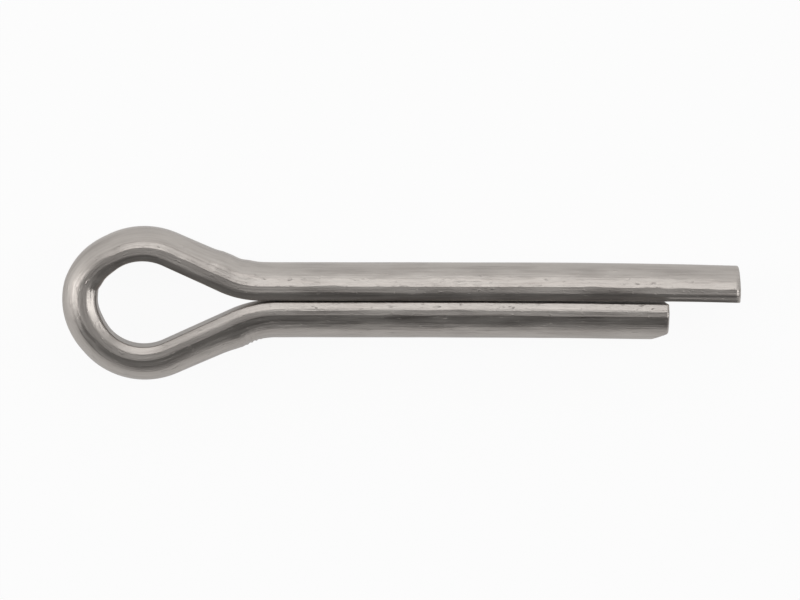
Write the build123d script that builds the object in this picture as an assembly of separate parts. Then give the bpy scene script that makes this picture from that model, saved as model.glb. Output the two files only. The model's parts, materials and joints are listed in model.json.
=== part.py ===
from build123d import *
import math
import os

# A cotter pin: one length of half-round wire, folded back on itself into an eye and two legs
# that lie flat face to flat face and together make a round shank.
#
# The frame: the shank's axis is X, with the leg tips towards +X and the eye towards -X. The
# longer leg is on the +Y side. The pin lies on its side, so Z runs across the width of the
# wire. The origin is on the shank's axis, where the straight shank begins. All lengths are in
# millimetres and all angles in degrees.

# Driving dimensions
shank_diameter = 4.5         # over the round backs of both legs
leg_gap = 0.25               # between the flat faces of the two legs
wire_width = 4.15            # along Z, between the narrow side flats of the wire
flat_corner_radius = 0.6     # from the flat face of the wire to its side flats
eye_inner_radius = 2.475     # of the flat face of the wire, inside the eye
arm_angle = 24.0             # of each arm of the head to the shank's axis
crotch_back_radius = 4.2     # of the round back, where a leg turns out into its arm
short_leg_length = 24.6      # from the origin to the tip of the shorter leg
long_leg_overhang = 4.22     # of the longer leg past the tip of the shorter one
bevel_length = 0.96          # of the bevel on the shorter leg's back, along X
bevel_height = 0.41          # of the same bevel, along Y
tip_rounding = 0.2           # of the rim of each sheared tip, on the round back

# Sizes that follow from them
shank_radius = shank_diameter / 2
flat_offset = leg_gap / 2
wire_thickness = shank_radius - flat_offset
crotch_flat_radius = crotch_back_radius + wire_thickness
long_leg_length = short_leg_length + long_leg_overhang
arm_sine = math.sin(math.radians(arm_angle))
arm_cosine = math.cos(math.radians(arm_angle))

# The flat faces of a leg and its arm, drawn on as straight lines, meet in a corner. The crotch
# bend starts and ends this far from it.
crotch_setback = crotch_flat_radius * math.tan(math.radians(arm_angle / 2))

# The flat faces of both arms are tangents to the inside of the eye.
corner_to_eye = (eye_inner_radius - flat_offset * arm_cosine) / arm_sine
eye_centre_x = -(crotch_setback + corner_to_eye)
corner_to_tangent = (corner_to_eye - eye_inner_radius * arm_sine) / arm_cosine
arm_length = corner_to_tangent - crotch_setback
eye_sweep = 180 + 2 * arm_angle


def flat_side_outline():
    """The flats and rounded corners of the wire, drawn deep enough to hold its round back."""
    depth = 2 * shank_radius
    outline = Pos(flat_offset + depth / 2, 0) * Rectangle(depth, wire_width)
    flat_corners = outline.vertices().sort_by(Axis.X)[:2]
    return fillet(flat_corners, flat_corner_radius)


def wire_section():
    """The wire's half-round section: X away from the flat face, Y across the wire.

    The round back is an arc about the origin, and the narrow side flats cut it off."""
    return Circle(shank_radius) & flat_side_outline()


def across_shank(along):
    """The plane across the shank at the origin, facing along, with its X axis towards +Y."""
    return Plane(origin=(0, 0, 0), x_dir=(0, 1, 0), z_dir=along)


def leg(length):
    """A straight leg on the +Y side, from the origin to its sheared tip.

    It starts as a round bar, so that the rim of its back is rounded over at the tip."""
    bar = extrude(across_shank((1, 0, 0)) * Circle(shank_radius), amount=length)
    tip_rim = bar.faces().sort_by(Axis.X)[-1].edges()
    rounded_bar = fillet(tip_rim, tip_rounding)
    flat_sides = extrude(across_shank((1, 0, 0)) * flat_side_outline(), amount=length)
    return rounded_bar & flat_sides


def short_leg():
    """The shorter leg, on the -Y side, with the bevel that its back has at the tip."""
    bevel_outline = Polyline(
        (short_leg_length - bevel_length, -shank_radius),
        (short_leg_length, -shank_radius + bevel_height),
        (short_leg_length + bevel_length, -shank_radius + bevel_height),
        (short_leg_length + bevel_length, -2 * shank_radius),
        (short_leg_length - bevel_length, -2 * shank_radius),
        close=True,
    )
    bevel_cut = extrude(make_face(bevel_outline), amount=wire_width, both=True)
    return mirror(leg(short_leg_length), Plane.XZ) - bevel_cut


def crotch_bend_axis():
    return Axis((0, shank_radius + crotch_back_radius, 0), (0, 0, -1))


def crotch_bend():
    """The bend that turns the +Y leg out of the shank into its arm."""
    start = across_shank((-1, 0, 0)) * wire_section()
    return revolve(start, axis=crotch_bend_axis(), revolution_arc=arm_angle)


def arm():
    """The straight arm from the crotch bend to the eye, on the +Y side."""
    along_shank = extrude(across_shank((-1, 0, 0)) * wire_section(), amount=arm_length)
    return along_shank.rotate(crotch_bend_axis(), arm_angle)


def eye():
    """The round of the eye, from one arm to the other."""
    outwards = Vector(arm_sine, arm_cosine, 0)
    eye_centre = Vector(eye_centre_x, 0, 0)
    start = Plane(
        origin=eye_centre + outwards * (eye_inner_radius - flat_offset),
        x_dir=outwards,
        z_dir=(-arm_cosine, arm_sine, 0),
    )
    eye_axis = Axis(eye_centre, (0, 0, 1))
    return revolve(start * wire_section(), axis=eye_axis, revolution_arc=eye_sweep)


def cotter_pin():
    half_head = crotch_bend() + arm()
    head = eye() + half_head + mirror(half_head, Plane.XZ)
    return head + leg(long_leg_length) + short_leg()


os.makedirs("parts", exist_ok=True)
pin = cotter_pin()
export_step(pin, "parts/cotter_pin.step")
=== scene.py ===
"""The looks of a cotter pin: bent half-round wire with the marks of its forming, under soft light.

The wire is one swept mesh. Its path starts at the tip of the longer leg, runs up that leg, round
the eye and down the shorter leg, and follows the flat face of the wire. Everything is in metres.
"""
import json
import math

import bpy
import numpy as np
from mathutils import Matrix, Vector

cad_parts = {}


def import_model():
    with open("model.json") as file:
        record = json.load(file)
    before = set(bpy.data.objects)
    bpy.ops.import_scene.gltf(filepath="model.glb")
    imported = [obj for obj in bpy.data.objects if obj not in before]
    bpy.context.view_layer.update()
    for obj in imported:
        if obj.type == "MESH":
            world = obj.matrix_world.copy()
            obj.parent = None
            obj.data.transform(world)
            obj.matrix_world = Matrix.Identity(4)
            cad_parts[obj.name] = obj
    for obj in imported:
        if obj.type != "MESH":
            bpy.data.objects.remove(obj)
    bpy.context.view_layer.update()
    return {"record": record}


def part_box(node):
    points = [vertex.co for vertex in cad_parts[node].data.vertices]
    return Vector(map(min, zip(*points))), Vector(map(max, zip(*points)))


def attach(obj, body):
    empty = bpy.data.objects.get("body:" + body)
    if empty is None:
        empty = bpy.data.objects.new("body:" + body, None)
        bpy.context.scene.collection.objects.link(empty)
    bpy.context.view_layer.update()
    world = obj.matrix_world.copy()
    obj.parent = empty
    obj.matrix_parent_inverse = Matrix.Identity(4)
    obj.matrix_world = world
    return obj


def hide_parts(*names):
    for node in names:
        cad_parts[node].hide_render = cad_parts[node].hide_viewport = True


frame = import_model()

MM = 0.001
SEED = 7

pin_low, pin_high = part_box("cotter_pin")
mounts = {mount["name"]: mount for mount in frame["record"]["mounts"]}
shank = mounts["shank"]

# The frame gives the size of the wire and the places of its ends.
SHANK_RADIUS = shank["dims"]["r_mm"] * MM
WIRE_HALF_WIDTH = (pin_high.z - pin_low.z) / 2
LONG_TIP_X = pin_high.x
HEAD_END_X = pin_low.x
FLOOR_Z = pin_low.z

# The path of the flat face of the wire. The head is bent by hand, so its two sides differ.
LEG_GAP = 0.07 * MM
LEG_OVERHANG = 4.29 * MM               # of the longer leg past the shorter one
UPPER_CROTCH = (5.9 * MM, math.radians(24.6))       # radius and turn of the bend under the head
LOWER_CROTCH = (7.1 * MM, math.radians(24.4))
UPPER_ARM = 3.70 * MM
UPPER_SHOULDER = (2.93 * MM, math.radians(67))      # radius and turn of each side of the eye
LOWER_SHOULDER = (2.81 * MM, math.radians(101))
EYE_END_RADIUS = 2.24 * MM             # the tighter curve between the two shoulders
UPPER_SIDE = 2.6 * MM                  # from where each side of the eye starts to its middle
LOWER_SIDE = 3.6 * MM
LONG_LEG_BOW = (14 * MM, 0.195 * MM)   # where the leg starts to sag to -Y, and how far it sags
SHORT_LEG_BOW = (7 * MM, 0.19 * MM)

# The section of the wire, from its round back to its flat face. Each tuple holds the values on the
# long leg, where its side of the eye starts, at that side of the eye, at the outer end of the eye, and
# then the same three places on the other side, up to the short leg.
OUTER_END = 3                          # which place in each tuple is the outer end of the eye
LEG_THICKNESS = SHANK_RADIUS - LEG_GAP / 2
THICKNESS = (LEG_THICKNESS, 2.07 * MM, 1.99 * MM, 2.12 * MM, 1.99 * MM, 2.07 * MM, LEG_THICKNESS)
CREASE_HEIGHT = (0.855 * MM, 0.85 * MM, 0.77 * MM, 1.06 * MM, 0.84 * MM, 0.76 * MM, 0.77 * MM)
HALF_WIDTH_LOSS = (0.0, 0.0, 0.03 * MM, 0.1 * MM, 0.03 * MM, 0.0, 0.0)
FACET_WIDTH = (0.30 * MM, 0.19 * MM, 0.13 * MM, 0.12 * MM, 0.2 * MM, 0.30 * MM, 0.43 * MM)
CREASE_RADIUS = (0.03 * MM, 0.05 * MM, 0.1 * MM, 0.62 * MM, 0.1 * MM, 0.05 * MM, 0.03 * MM)
CORNER_RADIUS = (0.5 * MM, 0.42 * MM, 0.4 * MM, 0.5 * MM, 0.45 * MM, 0.5 * MM, 0.5 * MM)
CORNER_FLAT = (0.28 * MM, 0.24 * MM, 0.22 * MM, 0.30 * MM, 0.30 * MM, 0.34 * MM, 0.38 * MM)
EDGE_RADIUS = (0.12 * MM, 0.14 * MM, 0.16 * MM, 0.45 * MM, 0.2 * MM, 0.14 * MM, 0.12 * MM)
CORNER_ANGLE = math.radians(30)        # between the flat of the corner and the side of the wire
FACET_ANGLE = math.radians(60)         # between the facet and the middle of the back
LEAST_BACK_FLAT = 0.01 * MM            # of the flat strip in the middle of the back, on each side

# The ends were cropped in a tool: their rims are rolled over.
LONG_TIP_ROLL = (0.09 * MM, 0.33 * MM, 0.10 * MM)      # on the back, the sides and the flat face
SHORT_TIP_ROLL = (0.14 * MM, 0.16 * MM, 0.07 * MM)
BEVEL_LENGTH = 0.96 * MM               # across the outer corner of the shorter leg
BEVEL_HEIGHT = 0.41 * MM

# Relief on the surface. Places along the wire are distances from the tip of the longer leg, and
# places around it are distances from the middle of the back.
DRAWN_WAVES = [                        # (height, length, width)
    (0.010 * MM, 5 * MM, 1.1 * MM),
    (0.004 * MM, 1.3 * MM, 0.45 * MM),
    (0.003 * MM, 3.5 * MM, 0.17 * MM),
]
BACK_FADE = (1.6 * MM, 2.6 * MM)       # around the wire, where marks of the back fade out
FLAT_FADE = (2.9 * MM, 3.4 * MM)       # around the wire, where marks of the flat face fade in
BACK_SWELLS = [                        # (place, offset from it, length, height)
    ("upper_crotch", 1.1 * MM, 0.9 * MM, 0.09 * MM),
    ("upper_crotch", 2.75 * MM, 0.7 * MM, 0.09 * MM),
    ("upper_crotch", 3.3 * MM, 0.25 * MM, 0.03 * MM),
    ("lower_crotch", -0.1 * MM, 0.8 * MM, 0.10 * MM),
]
FLAT_SWELLS = [                        # the first two are the fold across the inside of the eye
    ("eye_end", 0.0, 0.22 * MM, -0.04 * MM),
    ("eye_end", -0.45 * MM, 0.25 * MM, 0.025 * MM),
    ("eye_end", -1.4 * MM, 0.6 * MM, 0.055 * MM),
    ("eye_end", 1.85 * MM, 0.8 * MM, 0.06 * MM),
]
LEG_HOLLOW = (1 * MM, 13 * MM, 0.08 * MM)    # the longer leg's flat face: from, to and depth
GRIP_START = -0.3 * MM                 # of the teeth marks, from the lower crotch
GRIP_MIDDLE = 1.0 * MM                 # from their start
GRIP_LENGTH = 0.8 * MM
GRIP_FADE = (1.0 * MM, 2.1 * MM)
GRIP_PITCH = 0.42 * MM
GRIP_HEIGHT = 0.045 * MM
GRIP_GROOVE = -0.3                     # between two teeth, as a share of their height
NICKS = 220
NICK_MARGIN = 1 * MM                   # without nicks at each tip
NICK_PLACE = (1.9 * MM, 0.5 * MM)      # around the wire: mean and spread
NICK_LENGTH = (0.15 * MM, 0.7 * MM)
NICK_DEPTH = (0.006 * MM, 0.016 * MM)
NICK_WIDTH = (0.15 * MM, 0.28 * MM)
SCUFFS = [                             # (from, to, place around the wire, count)
    (0.5 * MM, 10.5 * MM, 1.8 * MM, 50),
    (11 * MM, 27 * MM, 2.3 * MM, 90),
]
SCUFF_SPREAD = 0.10 * MM
SCUFF_LENGTH = (0.12 * MM, 0.5 * MM)
SCUFF_DEPTH = (-0.010 * MM, 0.022 * MM)
SCUFF_WIDTH = 0.16 * MM

STEEL_LIGHT = (0.55, 0.51, 0.475, 1)
STEEL_DARK = (0.38, 0.345, 0.32, 1)
STEEL_WORN = (0.60, 0.565, 0.53, 1)
STEEL_LINES = (0.22, 5.5, 3.0, 0.3, 0.7)      # each: cells per millimetre along the wire and around
STEEL_CLOUDS = (0.30, 1.1, 4.0, 0.36, 0.64)   # it, detail, and the levels that count as 0 and 1
STEEL_GRAIN = (5.0, 9.0, 3.0, 0.3, 0.7)
STEEL_PITS = (2.2, 4.5, 2.0, 0.63, 0.75)
LINES_WORN = 0.75                      # the most of the worn colour that the lines take
LINES_ROUGHNESS = 0.10                 # the most that the lines add
CLOUDS_ROUGHNESS = (0.27, 0.34)
LINES_HEIGHT = 0.009 * MM
GRAIN_HEIGHT = 0.004 * MM
PITS_DEPTH = 0.015 * MM

FLOOR_SIZE = 3.0
FLOOR_GREY = (0.85, 0.85, 0.85, 1)
FLOOR_ROUGHNESS = 0.9
FLOOR_GLOW = (                         # how much of the floor each kind of ray sees as plain white
    ("Is Camera Ray", 0.94),
    ("Is Glossy Ray", 0.38),
    ("Is Transmission Ray", 0.38),
)
WORLD_LEVEL = 0.11
LIGHT_DISTANCE = 0.6
LIGHTS = [                             # (name, side on the floor, tilt, spread, height, level)
    ("light_back_wide", (0, 1, 0), 68, 110, 50, 0.68),
    ("light_back", (0, 1, 0), 55, 40, 24, 0.95),
    ("light_left", (-1, 0.14, 0), 53, 34, 26, 2.3),
    ("light_left_low", (-1, 0.1, 0), 79, 60, 22, 1.2),
    ("light_left_high", (-1, 0.14, 0), 31, 40, 18, 0.8),
    ("light_right", (1, 0.14, 0), 52, 34, 28, 2.6),
    ("light_right_high", (1, 0.14, 0), 31, 40, 18, 0.8),
    ("light_top", (0, 1, 0), 4, 40, 18, 0.45),
    ("light_front_low", (0, -1, 0), 80, 110, 18, 0.10),
]

# The camera looks down on the pin, leaning a little to -X and to +Y of straight above.
CAMERA_DISTANCE = 310 * MM
CAMERA_LEAN_X = math.radians(-2.3)
CAMERA_LEAN_Y = math.radians(3.2)
CAMERA_ROLL = math.radians(0.146)
VIEW_WIDTH = 47.98 * MM                # what the picture spans at the height of the pin's middle
VIEW_OFFSET = (-0.045 * MM, -0.01 * MM)    # of the view's centre from the middle of the pin
SENSOR_WIDTH = 36                      # in millimetres, as Blender takes it
CLIP_NEAR = 0.01
CLIP_FAR = 10

# The mesh is a grid: stations along the wire, and points around each half of its section.
STATION_SPACING = 0.082 * MM
TRIAL_STATIONS = 2000                  # for finding the end of the head
TIP_STATIONS = 16
TIP_REACH = 0.5 * MM                   # how far from a tip the stations lie close together
BACK_FLAT_POINTS = 3
BACK_POINTS = 17
FACET_POINTS = 5
CREASE_POINTS = 5
SIDE_POINTS = 3
CORNER_POINTS = 5
EDGE_POINTS = 5
FLAT_POINTS = 6


def smoothstep(value, low, high):
    t = np.clip((value - low) / (high - low), 0, 1)
    return t * t * (3 - 2 * t)


def bump(value, centre, width):
    """A bell curve of height 1."""
    return np.exp(-((value - centre) / width) ** 2)


def value_noise(rng, u, v, cell_u, cell_v):
    """Smooth noise from -1 to 1 over the (u, v) grid, with random values one cell apart."""
    grid_u = (u - u.min()) / cell_u
    grid_v = (v - v.min()) / cell_v
    values = rng.uniform(-1, 1, (int(grid_u.max()) + 2, int(grid_v.max()) + 2))
    i = grid_u.astype(int)
    j = grid_v.astype(int)
    a = smoothstep(grid_u - i, 0, 1)
    b = smoothstep(grid_v - j, 0, 1)
    near = values[i, j] * (1 - b) + values[i, j + 1] * b
    far = values[i + 1, j] * (1 - b) + values[i + 1, j + 1] * b
    return near * (1 - a) + far * a


# ---------------------------------------------------------------- the path of the wire

def run_points(start, heading, length, turn, along):
    """Points and headings at distances along one run, straight or an arc, from its start."""
    half_turn = turn / length * along / 2
    chord = along * np.sinc(half_turn / math.pi)
    x = start[0] + chord * np.cos(heading + half_turn)
    y = start[1] + chord * np.sin(heading + half_turn)
    return x, y, heading + 2 * half_turn


def wire_runs():
    """The runs of the path, each (length, turn to the left), with the head's end at X = 0."""
    crotch_radius, crotch_turn = UPPER_CROTCH
    lower_crotch_radius, lower_crotch_turn = LOWER_CROTCH
    upper_radius, upper_turn = UPPER_SHOULDER
    lower_radius, lower_turn = LOWER_SHOULDER
    end_turn = math.pi + crotch_turn + lower_crotch_turn - upper_turn - lower_turn
    head = [
        (crotch_radius * crotch_turn, -crotch_turn),
        (UPPER_ARM, 0.0),
        (upper_radius * upper_turn, upper_turn),
        (EYE_END_RADIUS * end_turn, end_turn),
        (lower_radius * lower_turn, lower_turn),
    ]
    x, y, heading = 0.0, LEG_GAP / 2, math.pi
    for length, turn in head:
        x, y, heading = run_points((x, y), heading, length, turn, length)
    crotch_rise = lower_crotch_radius * (1 - math.cos(lower_crotch_turn))
    lower_arm = (-LEG_GAP / 2 - y - crotch_rise) / math.sin(lower_crotch_turn)
    head += [(lower_arm, 0.0), (lower_crotch_radius * lower_crotch_turn, -lower_crotch_turn)]
    x += lower_arm * math.cos(lower_crotch_turn)
    x += lower_crotch_radius * math.sin(lower_crotch_turn)
    return head, x


def follow(runs, start, heading, distance):
    """X, Y and heading at each distance along the runs, and the distance at which each ends."""
    ends = np.cumsum([length for length, _ in runs])
    x = np.empty_like(distance)
    y = np.empty_like(distance)
    headings = np.empty_like(distance)
    for (length, turn), end in zip(runs, ends):
        inside = distance >= end - length
        along = distance[inside] - (end - length)
        x[inside], y[inside], headings[inside] = run_points(start, heading, length, turn, along)
        start_x, start_y, heading = run_points(start, heading, length, turn, length)
        start = (start_x, start_y)
    return x, y, headings, ends


def station_distances(total):
    """Distances of the stations: close together at both tips, evenly spaced between them."""
    near_tip = TIP_REACH * np.linspace(0, 1, TIP_STATIONS)[:-1] ** 2
    count = int((total - 2 * TIP_REACH) / STATION_SPACING)
    middle = np.linspace(TIP_REACH, total - TIP_REACH, count)
    return np.concatenate([near_tip, middle, total - near_tip[::-1]])


def wire_path():
    """The stations of the whole wire, placed so that the head ends where the frame says."""
    head, lower_leg_x = wire_runs()
    head_length = sum(length for length, _ in head)
    trial = np.linspace(0, head_length, TRIAL_STATIONS)
    x, _, heading, _ = follow(head, (0.0, LEG_GAP / 2), math.pi, trial)
    end_thickness = THICKNESS[OUTER_END]
    crotch_x = HEAD_END_X - (x - end_thickness * np.abs(np.sin(heading))).min()
    long_leg = LONG_TIP_X - crotch_x
    short_leg = LONG_TIP_X - LEG_OVERHANG - crotch_x - lower_leg_x
    runs = [(long_leg, 0.0)] + head + [(short_leg, 0.0)]
    distance = station_distances(sum(length for length, _ in runs))
    x, y, heading, ends = follow(runs, (LONG_TIP_X, LEG_GAP / 2), math.pi, distance)
    return distance, x, y, heading, ends


# ---------------------------------------------------------------- the section of the wire

def arc_points(radius, first_angle, last_angle, count):
    """Steps (away from the flat face, across) from the start of an arc of the outline, given by
    the angles of its outward normal from the middle of the back."""
    angle = first_angle + (last_angle - first_angle) * np.linspace(0, 1, count)[1:]
    out = radius * (np.cos(angle) - math.cos(first_angle))
    across = radius * (np.sin(angle) - math.sin(first_angle))
    return out, across


def half_section(thickness, half_width, crease_height, facet, crease_radius, corner_radius,
                 corner_flat, edge_radius):
    """One half of the section, from the middle of the back to the middle of the flat face.

    The arguments are columns with a row for each station. The results are (away from the flat
    face, across the wire), with a row for each station."""
    sin_facet, cos_facet = math.sin(FACET_ANGLE), math.cos(FACET_ANGLE)
    back_drop = thickness - crease_height - facet * sin_facet - crease_radius * cos_facet
    back_radius = back_drop / (1 - cos_facet)
    shoulder = back_radius * sin_facet + facet * cos_facet + crease_radius * (1 - sin_facet)
    back_flat = np.maximum(half_width - shoulder, LEAST_BACK_FLAT)
    sin_corner, cos_corner = math.sin(CORNER_ANGLE), math.cos(CORNER_ANGLE)
    corner_turn = math.pi / 2 + CORNER_ANGLE
    reach = corner_radius * sin_corner + corner_flat * cos_corner + edge_radius * (1 - sin_corner)
    depth = corner_radius * (1 - cos_corner) + corner_flat * sin_corner + edge_radius * cos_corner
    side = crease_height - reach
    flat = half_width - depth

    def line(out_step, across_step, count):
        share = np.linspace(0, 1, count)[1:]
        return out_step * share, across_step * share

    pieces = [
        line(0 * back_flat, back_flat, BACK_FLAT_POINTS),
        arc_points(back_radius, 0, FACET_ANGLE, BACK_POINTS),
        line(-facet * sin_facet, facet * cos_facet, FACET_POINTS),
        arc_points(crease_radius, FACET_ANGLE, math.pi / 2, CREASE_POINTS),
        line(-side, 0 * side, SIDE_POINTS),
        arc_points(corner_radius, math.pi / 2, corner_turn, CORNER_POINTS),
        line(-corner_flat * cos_corner, -corner_flat * sin_corner, CORNER_POINTS),
        arc_points(edge_radius, corner_turn, math.pi, EDGE_POINTS),
        line(0 * flat, -flat, FLAT_POINTS),
    ]
    out, across = [thickness], [0 * thickness]
    for out_steps, across_steps in pieces:
        out.append(out[-1][:, -1:] + out_steps)
        across.append(across[-1][:, -1:] + across_steps)
    return np.hstack(out), np.hstack(across)


def whole_section(out, across):
    """Both halves of the section as one closed loop."""
    other = slice(-2, 0, -1)
    return np.hstack([out, out[:, other]]), np.hstack([across, -across[:, other]])


def outward(out, across):
    """Outward unit normals of the section loops."""
    out_step = np.roll(out, -1, axis=1) - np.roll(out, 1, axis=1)
    across_step = np.roll(across, -1, axis=1) - np.roll(across, 1, axis=1)
    size = np.hypot(out_step, across_step)
    return across_step / size, -out_step / size


def rolled_rim(out, across, distance_from_tip, rolls):
    """The section drawn in towards a tip, as a quarter round of its own size on each side."""
    back, side, flat = [
        roll * (1 - np.sqrt(1 - np.clip(1 - distance_from_tip / roll, 0, 1) ** 2)) for roll in rolls]
    return (flat + out * (1 - (back + flat) / LEG_THICKNESS), across * (1 - side / WIRE_HALF_WIDTH))


# ---------------------------------------------------------------- the marks of forming

def dents(s, v, places):
    """The relief left by drawing and bending, outward from the section, at distance s along the
    wire and v around it from the middle of the back."""
    rng = np.random.default_rng(SEED)
    relief = 0
    for height, length, width in DRAWN_WAVES:
        relief = relief + height * value_noise(rng, s, v, length, width)

    on_back = 1 - smoothstep(np.abs(v), *BACK_FADE)
    for name, offset, length, height in BACK_SWELLS:
        relief += height * bump(s, places[name] + offset, length) * on_back

    grip_start = places["lower_crotch"] + GRIP_START
    teeth = np.clip(np.sin((s - grip_start) / GRIP_PITCH * 2 * math.pi), GRIP_GROOVE, 1)
    grip = bump(s, grip_start + GRIP_MIDDLE, GRIP_LENGTH) * (1 - smoothstep(np.abs(v), *GRIP_FADE))
    relief += GRIP_HEIGHT * teeth * grip

    for _ in range(NICKS):
        nick_s = rng.uniform(NICK_MARGIN, s.max() - NICK_MARGIN)
        nick_v = rng.choice((-1, 1)) * rng.normal(*NICK_PLACE)
        length = rng.uniform(*NICK_LENGTH)
        depth = rng.uniform(*NICK_DEPTH)
        relief -= depth * bump(s, nick_s, length) * bump(v, nick_v, rng.uniform(*NICK_WIDTH))

    for start, end, middle, count in SCUFFS:
        for _ in range(count):
            scuff_s = rng.uniform(start, end)
            scuff_v = rng.choice((-1, 1)) * rng.normal(middle, SCUFF_SPREAD)
            length = rng.uniform(*SCUFF_LENGTH)
            depth = rng.uniform(*SCUFF_DEPTH)
            relief -= depth * bump(s, scuff_s, length) * bump(v, scuff_v, SCUFF_WIDTH)

    on_flat = smoothstep(np.abs(v), *FLAT_FADE)
    hollow_start, hollow_end, hollow_depth = LEG_HOLLOW
    relief -= hollow_depth * (1 - smoothstep(s, hollow_start, hollow_end)) * on_flat
    for name, offset, length, height in FLAT_SWELLS:
        relief += height * bump(s, places[name] + offset, length) * on_flat
    return relief


def wire_surface():
    """The grid of points, and the distances along and around the wire at each of them."""
    distance, x, y, heading, ends = wire_path()
    crotch_start, _, eye_start, upper_end, lower_start = ends[:5]
    eye_end, lower_arm_end, lower_crotch_end, total = ends[5:]
    end_middle = (upper_end + lower_start) / 2
    places = {"upper_crotch": crotch_start, "eye_end": end_middle, "lower_crotch": lower_arm_end}
    stops = [crotch_start, eye_start, eye_start + UPPER_SIDE, end_middle, eye_end - LOWER_SIDE, eye_end,
             lower_crotch_end]

    def along_wire(values):
        return np.interp(distance, stops, values)

    half_width = WIRE_HALF_WIDTH - along_wire(HALF_WIDTH_LOSS)
    columns = [along_wire(THICKNESS), half_width, along_wire(CREASE_HEIGHT), along_wire(FACET_WIDTH),
               along_wire(CREASE_RADIUS), along_wire(CORNER_RADIUS), along_wire(CORNER_FLAT),
               along_wire(EDGE_RADIUS)]
    out, across = whole_section(*half_section(*[column[:, None] for column in columns]))

    normal_out, normal_across = outward(out, across)
    half = slice(0, out.shape[1] // 2 + 1)
    step = np.hypot(np.diff(out[:, half]), np.diff(across[:, half]))
    half_round = np.hstack([0 * step[:, :1], np.cumsum(step, axis=1)])
    around = np.hstack([half_round, -half_round[:, -2:0:-1]])
    along = distance[:, None] + 0 * around
    relief = dents(along, around, places)
    bevel = np.clip(1 - (total - along) / BEVEL_LENGTH, 0, 1) * BEVEL_HEIGHT
    out = np.where(bevel > 0, np.minimum(out, LEG_THICKNESS - bevel), out)
    out, across = rolled_rim(out, across, along, LONG_TIP_ROLL)
    out, across = rolled_rim(out, across, total - along, SHORT_TIP_ROLL)
    out = out + normal_out * relief
    across = across + normal_across * relief
    across = np.clip(across, -WIRE_HALF_WIDTH, WIRE_HALF_WIDTH)

    path_x = np.sin(heading)[:, None]
    path_y = -np.cos(heading)[:, None]
    points = np.stack([x[:, None] + path_x * out, y[:, None] + path_y * out, across], axis=-1)
    on_long_leg = (distance < end_middle)[:, None]
    for on_leg, (bow_start, sag) in ((on_long_leg, LONG_LEG_BOW), (~on_long_leg, SHORT_LEG_BOW)):
        past_start = np.clip(points[..., 0] - bow_start, 0, None) / (LONG_TIP_X - bow_start)
        points[..., 1] -= np.where(on_leg, sag * past_start ** 2, 0)
    return points, along, around


def grid_mesh(name, points, along, around):
    """A closed tube through the grid of points, with a fan over each end. Its UV map holds the
    distances along and around the wire in millimetres, and Y and Z on the end faces. Its seam runs
    along the middle of the flat face."""
    stations, count = points.shape[:2]
    i, j = np.meshgrid(np.arange(stations - 1), np.arange(count), indexing="ij")
    k = (j + 1) % count
    quads = np.stack([i * count + j, i * count + k, (i + 1) * count + k, (i + 1) * count + j], -1)
    first_centre = stations * count
    last_centre = first_centre + 1
    last_row = (stations - 1) * count
    fans = [(first_centre, (j + 1) % count, j) for j in range(count)]
    fans += [(last_centre, last_row + j, last_row + (j + 1) % count) for j in range(count)]
    centres = [points[0].mean(axis=0), points[-1].mean(axis=0)]
    vertices = np.vstack([points.reshape(-1, 3), centres])
    mesh = bpy.data.meshes.new(name)
    mesh.from_pydata(vertices.tolist(), [], quads.reshape(-1, 4).tolist() + fans)
    mesh.update()
    mesh.polygons.foreach_set("use_smooth", [True] * len(mesh.polygons))

    corners = np.empty(len(mesh.loops), dtype=int)
    mesh.loops.foreach_get("vertex_index", corners)
    first_fan_corner = quads.size
    on_wire = np.stack([along, around], axis=-1).reshape(-1, 2)
    places = np.vstack([on_wire[corners[:first_fan_corner]], vertices[corners[first_fan_corner:], 1:]])
    # The quads just past the seam start at the middle of the flat face, on its other side.
    past_seam = 4 * (np.arange(stations - 1) * count + count // 2)
    places[past_seam, 1] *= -1
    places[past_seam + 3, 1] *= -1
    uv = mesh.uv_layers.new(name="wire")
    uv.data.foreach_set("uv", (places / MM).astype(np.float32).ravel())
    return mesh


# ---------------------------------------------------------------- the steel

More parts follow.
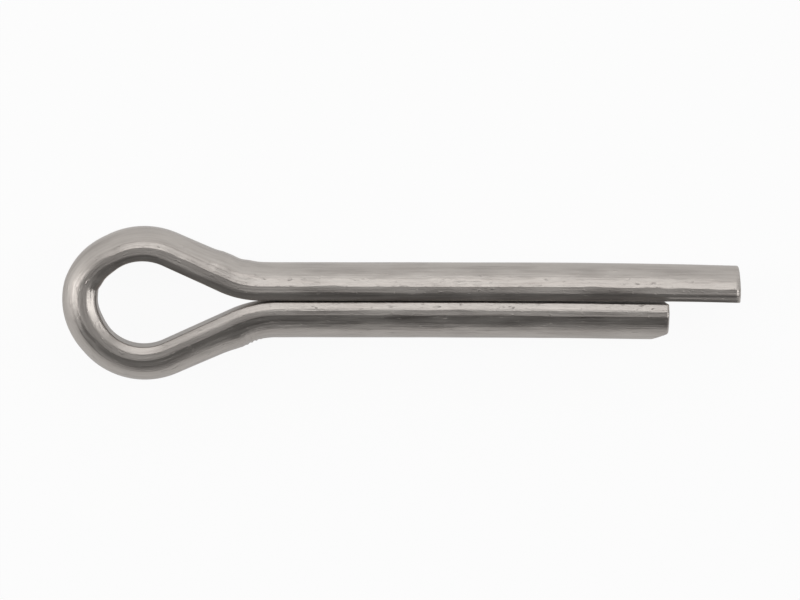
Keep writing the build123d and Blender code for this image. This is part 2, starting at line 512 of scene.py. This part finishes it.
def steel():
    """Satin steel with drawing lines along the wire, cloudy wear, fine grain and small pits."""
    material = bpy.data.materials.new("satin_steel")
    material.use_nodes = True
    nodes = material.node_tree.nodes
    links = material.node_tree.links
    shader = nodes["Principled BSDF"]
    shader.inputs["Metallic"].default_value = 1.0
    place = nodes.new("ShaderNodeUVMap")
    place.uv_map = "wire"

    def noise(along_scale, around_scale, detail, low, high):
        """Noise over the wire, from 0 to 1 between the two levels."""
        mapping = nodes.new("ShaderNodeMapping")
        mapping.inputs["Scale"].default_value = (along_scale, around_scale, 1)
        links.new(place.outputs["UV"], mapping.inputs["Vector"])
        texture = nodes.new("ShaderNodeTexNoise")
        texture.inputs["Scale"].default_value = 1.0
        texture.inputs["Detail"].default_value = detail
        links.new(mapping.outputs["Vector"], texture.inputs["Vector"])
        levels = nodes.new("ShaderNodeMapRange")
        levels.inputs["From Min"].default_value = low
        levels.inputs["From Max"].default_value = high
        links.new(texture.outputs["Fac"], levels.inputs["Value"])
        return levels.outputs["Result"]

    def blend(share, first, second):
        """A mix of two colours, through the colour sockets of a Mix node."""
        mix = nodes.new("ShaderNodeMix")
        mix.data_type = "RGBA"
        for socket, value in ((mix.inputs[0], share), (mix.inputs[6], first), (mix.inputs[7], second)):
            if isinstance(value, bpy.types.NodeSocket):
                links.new(value, socket)
            else:
                socket.default_value = value
        return mix.outputs[2]

    def scaled(value, low, high):
        """A value from 0 to 1 stretched to run from low to high."""
        levels = nodes.new("ShaderNodeMapRange")
        levels.inputs["To Min"].default_value = low
        levels.inputs["To Max"].default_value = high
        links.new(value, levels.inputs["Value"])
        return levels.outputs["Result"]

    def relief(value, height, below=None, sunk=False):
        """The normal of a bump of the given height, on top of the normal below it."""
        layer = nodes.new("ShaderNodeBump")
        layer.invert = sunk
        layer.inputs["Distance"].default_value = height
        links.new(value, layer.inputs["Height"])
        if below:
            links.new(below, layer.inputs["Normal"])
        return layer.outputs["Normal"]

    lines = noise(*STEEL_LINES)
    clouds = noise(*STEEL_CLOUDS)
    grain = noise(*STEEL_GRAIN)
    pits = noise(*STEEL_PITS)

    tone = blend(clouds, STEEL_DARK, STEEL_LIGHT)
    tone = blend(scaled(lines, 0.0, LINES_WORN), tone, STEEL_WORN)
    links.new(tone, shader.inputs["Base Color"])

    dull = nodes.new("ShaderNodeMath")
    dull.operation = "ADD"
    links.new(scaled(clouds, *CLOUDS_ROUGHNESS), dull.inputs[0])
    links.new(scaled(lines, 0.0, LINES_ROUGHNESS), dull.inputs[1])
    links.new(dull.outputs[0], shader.inputs["Roughness"])

    normal = relief(lines, LINES_HEIGHT)
    normal = relief(grain, GRAIN_HEIGHT, normal)
    normal = relief(pits, PITS_DEPTH, normal, sunk=True)
    links.new(normal, shader.inputs["Normal"])
    return material


points, along, around = wire_surface()
mesh = grid_mesh("cotter_pin_wire", points, along, around)
wire = bpy.data.objects.new("cotter_pin_wire", mesh)
bpy.context.collection.objects.link(wire)
mesh.materials.append(steel())
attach(wire, "root")
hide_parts("cotter_pin")


# ---------------------------------------------------------------- floor, light and camera

def floor_material():
    """A pale matt floor that reads as white to the camera and in the steel, and takes shadows."""
    material = bpy.data.materials.new("pale_floor")
    material.use_nodes = True
    nodes = material.node_tree.nodes
    links = material.node_tree.links
    shader = nodes["Principled BSDF"]
    shader.inputs["Base Color"].default_value = FLOOR_GREY
    shader.inputs["Roughness"].default_value = FLOOR_ROUGHNESS
    shader.inputs["Specular IOR Level"].default_value = 0.0
    emission = nodes.new("ShaderNodeEmission")
    emission.inputs["Strength"].default_value = 1.0
    path = nodes.new("ShaderNodeLightPath")
    share = None
    for ray, ray_share in FLOOR_GLOW:
        term = nodes.new("ShaderNodeMath")
        term.operation = "MULTIPLY_ADD"
        term.use_clamp = True
        term.inputs[1].default_value = ray_share
        term.inputs[2].default_value = 0.0
        links.new(path.outputs[ray], term.inputs[0])
        if share:
            links.new(share, term.inputs[2])
        share = term.outputs[0]
    mix = nodes.new("ShaderNodeMixShader")
    links.new(share, mix.inputs[0])
    links.new(shader.outputs[0], mix.inputs[1])
    links.new(emission.outputs[0], mix.inputs[2])
    links.new(mix.outputs[0], nodes["Material Output"].inputs["Surface"])
    return material


def floor():
    bpy.ops.mesh.primitive_plane_add(size=FLOOR_SIZE, location=(0, 0, FLOOR_Z))
    plane = bpy.context.object
    plane.name = "floor"
    plane.data.materials.append(floor_material())


def softbox(name, side, tilt, spread, height, level):
    """A wide area light at a fixed distance from the pin, facing it. side is its direction on the
    floor and tilt its angle from straight above. spread and height are the angles it fills, all
    in degrees, and level is its brightness as seen in a mirror."""
    width = 2 * LIGHT_DISTANCE * math.tan(math.radians(spread / 2))
    depth = 2 * LIGHT_DISTANCE * math.tan(math.radians(height / 2))
    light = bpy.data.lights.new(name, "AREA")
    light.shape = "RECTANGLE"
    light.size = width
    light.size_y = depth
    light.energy = level * math.pi * width * depth
    box = bpy.data.objects.new(name, light)
    bpy.context.collection.objects.link(box)
    sin_tilt, cos_tilt = math.sin(math.radians(tilt)), math.cos(math.radians(tilt))
    side = Vector(side).normalized()
    towards = Vector((side.x * sin_tilt, side.y * sin_tilt, cos_tilt))
    box.location = Vector(((pin_low.x + pin_high.x) / 2, 0, 0)) + towards * LIGHT_DISTANCE
    box.rotation_euler = towards.to_track_quat("Z", "Y").to_euler()


def world(level):
    studio = bpy.data.worlds.new("studio")
    bpy.context.scene.world = studio
    studio.use_nodes = True
    background = studio.node_tree.nodes["Background"]
    background.inputs["Color"].default_value = (1, 1, 1, 1)
    background.inputs["Strength"].default_value = level


def camera():
    data = bpy.data.cameras.new("camera")
    data.sensor_width = SENSOR_WIDTH
    data.lens = SENSOR_WIDTH * CAMERA_DISTANCE / VIEW_WIDTH
    data.clip_start = CLIP_NEAR
    data.clip_end = CLIP_FAR
    view = bpy.data.objects.new("camera", data)
    bpy.context.collection.objects.link(view)
    target = Vector(((HEAD_END_X + LONG_TIP_X) / 2 + VIEW_OFFSET[0], VIEW_OFFSET[1], 0))
    lean_x, lean_y = math.sin(CAMERA_LEAN_X), math.sin(CAMERA_LEAN_Y)
    towards = Vector((lean_x, lean_y, math.sqrt(1 - lean_x ** 2 - lean_y ** 2)))
    up = Vector((-math.sin(CAMERA_ROLL), math.cos(CAMERA_ROLL), 0))
    right = up.cross(towards).normalized()
    up = towards.cross(right)
    view.matrix_world = Matrix.Translation(target + towards * CAMERA_DISTANCE) @ Matrix(
        (right, up, towards)).transposed().to_4x4()
    bpy.context.scene.camera = view


floor()
for light in LIGHTS:
    softbox(*light)
world(WORLD_LEVEL)
camera()
bpy.context.scene.view_settings.view_transform = "Standard"
